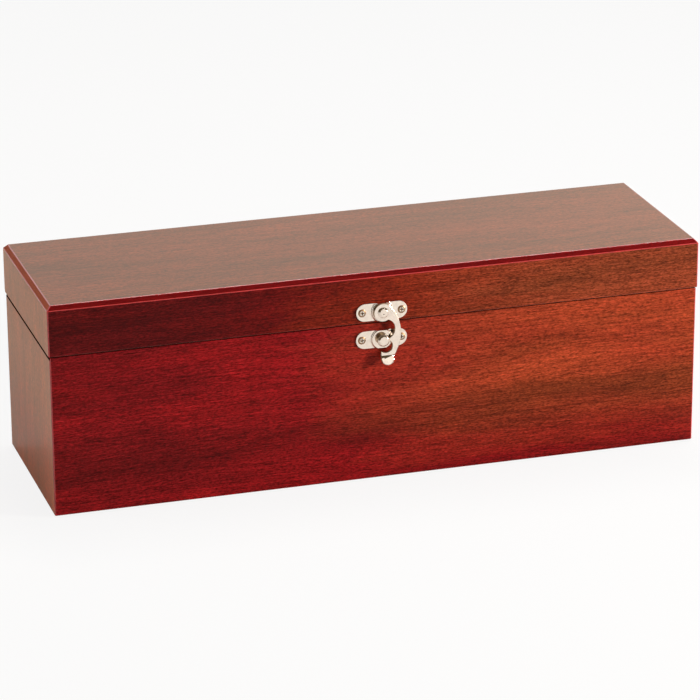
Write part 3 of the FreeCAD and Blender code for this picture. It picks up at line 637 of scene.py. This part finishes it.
# %% [markdown]
# ## The boards
#
# Close up, a lacquered box is told by its edges. The roundings next to the seam between
# base and lid are painted nearly black, which is painted shade for the shadow in the seam,
# and at the ends of the base a narrow strip under them is painted dark too, as the shadow
# of the lid. The upright corners are painted a brighter red under a glossy coat. That red
# is partly wear, since the corners are touched most, and partly a painted highlight, and
# it draws the fine bright lines that tell the eye that the box is lacquered. A mask could
# paint all this, but the frame's boards already have narrow faces in those places, so
# each such face gets its own material, picked by where it lies and which way it looks.

# %% Where a board is painted with shade, or worn and highlit
# partly wear and partly painted highlight: the brighter red of the corners and edge roundings
WEAR_AND_HIGHLIGHT_RED = (0.420, 0.0140, 0.0140)
# painted shade: the seam's roundings and the strip under them are dark because shadow lies there
PAINTED_SEAM_SHADE = (0.010, 0.002, 0.0015)
seam_painted_shade = rosewood("seam_painted_shade_wood", "x", (0.3, 0.9, 0.4), from_to(PAINTED_SEAM_SHADE, PAINTED_SEAM_SHADE),
                     clarity=0.3, lacquer=DEAD_MATT)
worn_and_highlit_corner = rosewood("worn_and_highlit_corner_wood", "z", (0.6, 0.1, 0.8), from_to(WEAR_AND_HIGHLIGHT_RED, WEAR_AND_HIGHLIGHT_RED),
                       clarity=0.6, lacquer=GLOSSY)

PLAIN, PAINTED_SHADE, WORN_AND_HIGHLIT = range(3)
STRAIGHT = 0.999
ROUNDING_AREA = 100 * MM * MM
TURNED_TO_SEAM = {"front": 0.75, "back": 0.75, "left": 0.15, "right": 0.15}
OUTER_SKIN = 1 * MM
ROUND_THE_CORNER = 0.15
CORNER_ZONE = 3 * MM


def rounds_a_corner(face):
    """whether a face belongs to an upright rounding at one of the four outer corners"""
    x, y, z = face.normal
    at_the_end = abs(face.calc_center_median().x) > HALF_LENGTH - CORNER_ZONE
    return at_the_end and min(abs(x), abs(y)) > ROUND_THE_CORNER


def board_finish(face, side, to_seam, strip_starts):
    """whether a face is plain, painted shade, or worn and highlit; to_seam is 1 where the seam is
    above, else -1
    """
    if face.calc_area() >= ROUNDING_AREA:
        return PLAIN
    middle = face.calc_center_median()
    in_painted_shade_strip = middle.z > strip_starts and abs(middle.x) > HALF_LENGTH - OUTER_SKIN
    if in_painted_shade_strip or TURNED_TO_SEAM[side] < face.normal.z * to_seam < STRAIGHT:
        return PAINTED_SHADE
    return WORN_AND_HIGHLIT if rounds_a_corner(face) else PLAIN


print("roundings: faces under", round(ROUNDING_AREA / MM / MM), "square mm")

# %% Boards
EDGE_ROUND = 0.8 * MM
# the strip under the seam at the ends of the base is painted shade, the shadow of the lid
PAINTED_SHADE_STRIP = 0.7 * MM


def cut_across(bm, axis, level):
    """a row of vertices right across a mesh, where one coordinate has this level"""
    normal = Vector((0, 0, 0))
    normal[axis] = 1
    bmesh.ops.bisect_plane(bm, geom=bm.verts[:] + bm.edges[:] + bm.faces[:],
                           plane_co=normal * level, plane_no=normal)


def board(node):
    """a wall or rim board, painted shade at the roundings next to the seam, worn and highlit at the
    corners
    """
    bm = joined_copy(node)
    part, side = node.split("_")
    to_seam = 1 if part == "base" else -1
    strip_starts = max(vert.co.z for vert in bm.verts)
    if part == "base" and side in ("left", "right"):
        strip_starts -= EDGE_ROUND + PAINTED_SHADE_STRIP
        cut_across(bm, 2, strip_starts)
    for face in bm.faces:
        face.material_index = board_finish(face, side, to_seam, strip_starts)
    used = [face.material_index for face in bm.faces]
    piece = piece_from(bm, node + "_board", node, WOODS[node], seam_painted_shade, worn_and_highlit_corner)
    print(piece.name, "plain, dark, worn faces:", [used.count(kind) for kind in (PLAIN, PAINTED_SHADE, WORN_AND_HIGHLIT)])


for node in WOODS:
    if node != "lid_top":
        board(node)

# %% [markdown]
# ## Top panel
#
# The top panel and the rim of the lid were sanded and stained together, so the panel's
# narrow sides carry on the figure of the rim boards under them. Its chamfers are redder in
# front, along the grain, and browner at the ends, across it. The thin roundings between
# them are glossy, in a brighter red that is partly wear and partly painted highlight. The
# panel is one solid, so its faces are sorted by the way they look and by their size, and
# each sort has its own place in the piece's list of materials.

# %% Top panel
CHAMFER_RED = (0.130, 0.0030, 0.0035)
CHAMFER_BROWN = (0.300, 0.055, 0.0170)
LEVEL = 0.1
CHAMFER_AREA = 200 * MM * MM
PANEL_FINISHES = [
    WOODS["lid_top"], WOODS["lid_front"], WOODS["lid_back"], WOODS["lid_left"], WOODS["lid_right"],
    rosewood("long_chamfer_wood", "x", (9.1, 0.5, 0.2), from_to(CHAMFER_RED, CHAMFER_RED),
             clarity=0.5),
    rosewood("end_chamfer_wood", "x", (9.7, 0.8, 0.4), from_to(CHAMFER_BROWN, CHAMFER_BROWN),
             clarity=0.4, lacquer=BARE_STAIN),
    # the edge roundings get the same brighter red: partly wear, partly painted highlight
    rosewood("edge_wood", "x", (9.9, 0.2, 0.1), from_to(WEAR_AND_HIGHLIGHT_RED, WEAR_AND_HIGHLIGHT_RED),
             clarity=0.5, lacquer=GLOSSY),
]
TOP, FRONT, BACK, LEFT, RIGHT, LONG_CHAMFER, END_CHAMFER, EDGE = range(len(PANEL_FINISHES))


def panel_finish(face):
    """which finish a face of the panel has, from where it looks and how large it is"""
    x, y, z = face.normal
    if abs(z) > STRAIGHT:
        return TOP
    if abs(z) < LEVEL:
        if rounds_a_corner(face):
            return EDGE
        if abs(y) > abs(x):
            return FRONT if y < 0 else BACK
        return LEFT if x < 0 else RIGHT
    if face.calc_area() < CHAMFER_AREA:
        return EDGE
    return LONG_CHAMFER if abs(y) > abs(x) else END_CHAMFER


bm = joined_copy("lid_top")
for face in bm.faces:
    face.material_index = panel_finish(face)
used = [face.material_index for face in bm.faces]
piece_from(bm, "lid_top_board", "lid_top", *PANEL_FINISHES)
print("faces with each finish:", [used.count(finish) for finish in range(len(PANEL_FINISHES))])

# %% [markdown]
# ## Bright metal
#
# The clasp is pressed and stamped steel with polished nickel over it. Nickel is a warm
# white mirror. A perfect mirror would look drawn, not made, so a fine noise makes some
# spots a little rougher than others, and a wider one bends the reflections as pressing
# does. The hinges are plainer and rougher. The cut sides of the hook and stud, and the
# hollows and rims of the screw heads, get a rougher metal painted dark brown. That is
# painted shade and painted dark reflection, for the shadow and dim surroundings that
# these narrow faces catch.

# %% Nickel and steel
SMUDGES = dict(scale=420.0, detail=3.0)
SWELL = dict(scale=260.0, detail=1.0)
SMOOTHEST, ROUGHEST = 0.7, 1.5
SMUDGED = 0.9


def bright_metal(name, colour, roughness, unevenness):
    """polished plate: a slightly uneven mirror"""
    material, shader = new_material(name, Metallic=1.0, Roughness=roughness)
    tree = material.node_tree
    place = object_place(tree)
    smudges = noise(tree, place, **SMUDGES)
    swell = noise(tree, place, **SWELL)
    rough = remap(tree, smudges, *USUAL_NOISE, roughness * SMOOTHEST, roughness * ROUGHEST)
    tree.links.new(rough, shader.inputs["Roughness"])
    worn = tuple(part * SMUDGED for part in colour)
    tree.links.new(ramp(tree, smudges, (0.35, worn), (0.6, colour)), shader.inputs["Base Color"])
    bent = relief(tree, swell, strength=unevenness, depth=0.1 * MM)
    tree.links.new(bent, shader.inputs["Normal"])
    return material


nickel = bright_metal("polished_nickel", (0.93, 0.83, 0.74), roughness=0.10, unevenness=0.25)
hinge_plate = bright_metal("hinge_nickel", (0.80, 0.75, 0.66), roughness=0.36, unevenness=0.05)
screw_steel = bright_metal("screw_nickel", (0.82, 0.76, 0.68), roughness=0.18, unevenness=0.15)
# painted shade and dark reflection in the screws' cross, rim and shank
hollow_shade_metal = bright_metal("painted_hollow_shade", (0.30, 0.18, 0.10), roughness=0.35, unevenness=0.15)
# painted shade and dark reflection on the cut sides of the hook and stud
shade_painted_edge = bright_metal("painted_shade_edge_nickel", (0.44, 0.32, 0.19), roughness=0.28, unevenness=0.15)
print("metals:", nickel.name, hinge_plate.name, screw_steel.name, hollow_shade_metal.name, shade_painted_edge.name)

# %% [markdown]
# ## Eased edges
#
# No stamped or turned edge is knife sharp, and it is the small rounding that catches the
# light. The bevel operator makes it. It is usually clamped, so that it never runs over
# itself, but then one very short edge keeps the whole bevel thin. The curved hook has many
# short edges, so only its outline is rounded, without the clamp. The bevel also stays
# clear of any point where the outline folds back on itself, since it would leave a crease.

# %% Easing a solid's edges
SHARP = math.radians(35)
LOOKS_FORWARD = -0.7
FOLDED = math.radians(60)
CLEAR_OF_FOLD = 0.9 * MM


def folds_back(vert, outline):
    """whether an outline turns sharply back on itself at one of its vertices"""
    arms = [edge.other_vert(vert).co - vert.co for edge in vert.link_edges if edge in outline]
    return len(arms) == 2 and arms[0].angle(arms[1]) < FOLDED


def front_outline(sharp):
    """those of the sharp edges that go round the front, apart from any next to a fold"""
    outline = [edge for edge in sharp
               if min(face.normal.y for face in edge.link_faces) < LOOKS_FORWARD]
    folds = [vert.co for edge in outline for vert in edge.verts if folds_back(vert, outline)]
    return [edge for edge in outline
            if all((vert.co - fold).length > CLEAR_OF_FOLD
                   for vert in edge.verts for fold in folds)]


def eased_solid(node, ease, steps=2, outline_only=False):
    """a copy of a metal solid with its sharp edges rounded off"""
    bm = joined_copy(node)
    bm.normal_update()
    sharp = [edge for edge in bm.edges if edge.calc_face_angle(0) > SHARP]
    if outline_only:
        sharp = front_outline(sharp)
    bmesh.ops.bevel(bm, geom=sharp, offset=ease, offset_type="OFFSET", affect="EDGES",
                    segments=steps, profile=0.5, material=-1, clamp_overlap=not outline_only)
    bm.normal_update()
    print(node, "eased edges:", len(sharp), "faces:", len(bm.faces))
    return bm


print("sharp means more than", round(math.degrees(SHARP)), "degrees")

# %% [markdown]
# ## Clasp and hinges
#
# Most fittings are one metal all over. On the hook and the stud, the faces that don't look
# forward or back are the cut edges, and they get the darker brown metal, painted shade and
# painted dark reflection. A screw is bright on the flat of its head, and everything below
# that level is painted dark as shade: the cross, the rim and the shank. The screws of the
# hinges look up in the base and down in the lid.

# %% Stamped and turned pieces
BRIGHT, PAINTED_SHADE_METAL = range(2)
FRONTWARDS, UPWARDS, DOWNWARDS = Vector((0, -1, 0)), Vector((0, 0, 1)), Vector((0, 0, -1))


def metal_piece(node, bm, *materials):
    """a finished fitting that stands for its node"""
    return piece_from(bm, node + "_metal", node, *materials)


def shade_painted_sides(bm, painted_shade_below):
    """the mesh with darker metal, painted shade and dark reflection, where it looks less forward or
    back than this
    """
    for face in bm.faces:
        face.material_index = PAINTED_SHADE_METAL if abs(face.normal.y) < painted_shade_below else BRIGHT
    return bm


def shade_painted_hollows(bm, heads):
    """the mesh of screws painted dark as shade below the flat of their heads, which look this way"""
    top = max(vert.co.dot(heads) for vert in bm.verts)
    for face in bm.faces:
        in_the_flat = top - face.calc_center_median().dot(heads) < WELD
        face.material_index = BRIGHT if in_the_flat else PAINTED_SHADE_METAL
    return bm


for node in ("clasp_plate", "catch_plate", "clasp_rivet"):
    metal_piece(node, eased_solid(node, ease=0.2 * MM), nickel)
# the stud's sides and the hook's outline are painted darker: painted shade and dark reflection
stud = shade_painted_sides(eased_solid("catch_stud", ease=0.2 * MM), painted_shade_below=0.5)
metal_piece("catch_stud", stud, nickel, shade_painted_edge)
hook = eased_solid("clasp_hook", ease=0.32 * MM, steps=3, outline_only=True)
metal_piece("clasp_hook", shade_painted_sides(hook, painted_shade_below=0.8), nickel, shade_painted_edge)

# below the flat of each head the screws are painted dark: painted shade in the countersink and cross
for node, heads in (("clasp_screws", FRONTWARDS), ("catch_screws", FRONTWARDS),
                    ("hinge_base_screws", UPWARDS), ("hinge_lid_screws", DOWNWARDS)):
    screws = shade_painted_hollows(eased_solid(node, ease=0.22 * MM, steps=1), heads)
    metal_piece(node, screws, screw_steel, hollow_shade_metal)
for side in ("left", "right"):
    for node in (f"hinge_{side}_base_leaf", f"hinge_{side}_lid_leaf"):
        metal_piece(node, eased_solid(node, ease=0.08 * MM), hinge_plate)
    node = f"hinge_{side}_pin"
    metal_piece(node, eased_solid(node, ease=0.1 * MM), screw_steel)

# %% [markdown]
# ## Satin cloth
#
# The inside is lined with cards wrapped in a champagne satin. Its threads are far too fine
# to model one by one, so the weave is made of two stretched noises that cross, one for the
# warp and one for the weft. Their product gives both the shade between the threads and the
# fine relief. A wide soft noise adds the slack waves of cloth that is glued only at its
# rim, and a sheen gives the silky light at low angles.

# %% Satin cloth
SATIN_GOLD = (0.66, 0.53, 0.35)
SATIN_SHADE = (0.47, 0.36, 0.22)
WARP = dict(lengthwise=90, across=2400, detail=2.0)
WEFT = dict(lengthwise=120, across=2400, detail=2.0)
SLACK = dict(scale=38.0, detail=1.0)


def satin_cloth(name, colour, shade):
    """woven satin: fine slubs in both directions, a soft sheen and a few slack waves"""
    material, shader = new_material(name, Roughness=0.48, Specular_IOR_Level=0.35, Sheen_Weight=0.5,
                                    Sheen_Roughness=0.35, Sheen_Tint=(1.0, 0.93, 0.80, 1))
    tree = material.node_tree
    place = object_place(tree)
    turned = add(tree, "ShaderNodeMapping", {
        "Vector": place, "Rotation": GRAIN_TURN["z"]}).outputs[0]
    warp = stretched_noise(tree, place, **WARP)
    weft = stretched_noise(tree, turned, **WEFT)
    slack = noise(tree, place, **SLACK)
    threads = calculate(tree, "MULTIPLY", warp, weft)
    tint = ramp(tree, threads, (0.12, shade), (0.36, colour))
    tint = blend(tree, "MULTIPLY", 1.0, tint, ramp(tree, slack, (0.35, 0.88), (0.65, 1.06)))
    tree.links.new(tint, shader.inputs["Base Color"])
    weave = relief(tree, threads, strength=0.35, depth=0.08 * MM)
    waves = relief(tree, slack, strength=0.5, depth=0.8 * MM, laid_on=weave)
    tree.links.new(waves, shader.inputs["Normal"])
    return material


lining_cloth = satin_cloth("champagne_satin", SATIN_GOLD, SATIN_SHADE)
print("cloth:", lining_cloth.name)

# %% [markdown]
# ## Wrapped cards
#
# A thin wadding under the cloth makes each card swell a little in the middle and curve
# down at its rim, where the cloth turns round to the back. A card is glued on flat and has
# nothing to hang from, so cloth simulation would add little. Each card starts as a cube of
# the solid's size. Cuts make rows of vertices across it, closer together near the rim, and
# then the vertices of the side that shows sink by an amount that depends on how near the
# rim they are.

# %% Wrapped cards
RIM_CUTS = (0.25 * MM, 0.7 * MM, 1.4 * MM, 2.6 * MM, 5.0 * MM)
FIELD_CUT = 14 * MM
CURVE_DOWN = 0.75 * MM
CURVE_WIDTH = 2.6 * MM
CROWN = 0.25 * MM
CARD_SIDES = {"front": (1, 1), "back": (1, -1), "left": (0, 1), "right": (0, -1)}


def block_of(node):
    """a block as large as a node's solid, with the two corners that it lies between"""
    low, high = (Vector(corner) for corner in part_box(node))
    bm = bmesh.new()
    bmesh.ops.create_cube(bm, size=1.0)
    bmesh.ops.scale(bm, vec=high - low, verts=bm.verts)
    bmesh.ops.translate(bm, vec=(high + low) / 2, verts=bm.verts)
    return bm, low, high


def sink_rim(bm, low, high, thin, shown):
    """lower the side that shows, most at its rim and a little everywhere but in the middle"""
    wide = [axis for axis in range(3) if axis != thin]
    level = high[thin] if shown > 0 else low[thin]
    for vert in bm.verts:
        if abs(vert.co[thin] - level) > WELD:
            continue
        rim = min(min(vert.co[axis] - low[axis], high[axis] - vert.co[axis]) for axis in wide)
        near = max(0.0, 1 - rim / CURVE_WIDTH)
        along = [(vert.co[axis] - low[axis]) / (high[axis] - low[axis]) for axis in wide]
        arch = math.prod(math.sin(math.pi * share) for share in along)
        vert.co[thin] -= shown * (CURVE_DOWN * near ** 3 + CROWN * (1 - arch))


def wrapped_card(node, thin, shown):
    """a card wrapped in padded cloth; thin is its thin axis, shown the way its good side looks"""
    bm, low, high = block_of(node)
    for axis in range(3):
        if axis == thin:
            continue
        for inset in RIM_CUTS:
            cut_across(bm, axis, low[axis] + inset)
            cut_across(bm, axis, high[axis] - inset)
        span = high[axis] - low[axis] - 2 * RIM_CUTS[-1]
        rows = max(1, round(span / FIELD_CUT))
        for row in range(1, rows):
            cut_across(bm, axis, low[axis] + RIM_CUTS[-1] + span * row / rows)
    sink_rim(bm, low, high, thin, shown)
    piece = piece_from(bm, node + "_card", node, lining_cloth, smooth_below=70)


for part, faces_up in (("base", 1), ("lid", -1)):
    wrapped_card(part + "_lining_flat", 2, faces_up)
    for side, (thin, shown) in CARD_SIDES.items():
        wrapped_card(f"{part}_lining_{side}", thin, shown)
print("wrapped cards:", 2 * (1 + len(CARD_SIDES)))

# %% [markdown]
# ## Felt
#
# A thin sheet of pressed felt is glued under the box so that it doesn't scratch a table.
# Felt has no threads, only tangled fibres, so its pattern is plain noise with no direction,
# and it hardly shines at all. The sheet is a block of its real size with eased edges, as
# felt that has been cut with a knife and pressed flat.

# %% Felt sheet
FELT_DARK = (0.020, 0.017, 0.017)
FELT_PALE = (0.085, 0.075, 0.072)
FELT_EDGE = 0.2 * MM
TANGLE = dict(scale=900.0, detail=5.0, roughness=0.75, distortion=1.2)

felt_material, shader = new_material("pressed_felt", Roughness=0.97, Specular_IOR_Level=0.1,
                                     Sheen_Weight=0.3, Sheen_Roughness=0.6)
tree = felt_material.node_tree
tangle = noise(tree, object_place(tree), **TANGLE)
fibre_colour = ramp(tree, tangle, (0.35, FELT_DARK), (0.68, FELT_PALE))
tree.links.new(fibre_colour, shader.inputs["Base Color"])
tree.links.new(relief(tree, tangle, strength=0.6, depth=0.15 * MM), shader.inputs["Normal"])

bm, low, high = block_of("base_felt")
bmesh.ops.bevel(bm, geom=bm.edges[:], offset=FELT_EDGE, offset_type="OFFSET", affect="EDGES",
                segments=2, profile=0.5, material=-1, clamp_overlap=True)
felt = piece_from(bm, "felt_sheet", "base_felt", felt_material)
print("felt in mm:", [round(side / MM, 1) for side in high - low])

# %% [markdown]
# ## Floor board
#
# The floor of the box is thin plywood, hidden between the lining and the felt. It would
# show if someone took the lining out. It has the same layers of grain as the boards,
# fainter and with no lacquer, so the same recipe makes it from two paler colours.

# %% Floor board
PLYWOOD_WARM = (0.42, 0.24, 0.14)
PLYWOOD_PALE = (0.46, 0.28, 0.16)
plywood = rosewood("plywood", "x", (2.2, 2.4, 2.6), from_to(PLYWOOD_WARM, PLYWOOD_PALE),
                   clarity=0.5, lacquer=BARE_STAIN)
piece_from(joined_copy("base_bottom"), "floor_board", "base_bottom", plywood)
print("floor board in", plywood.name)

# %% [markdown]
# ## Last measure
#
# Finish must not change the size of a thing. The box round all the solids was measured at
# the start, and the box round all the finished pieces is measured now.

# %% Finish
low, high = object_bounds()
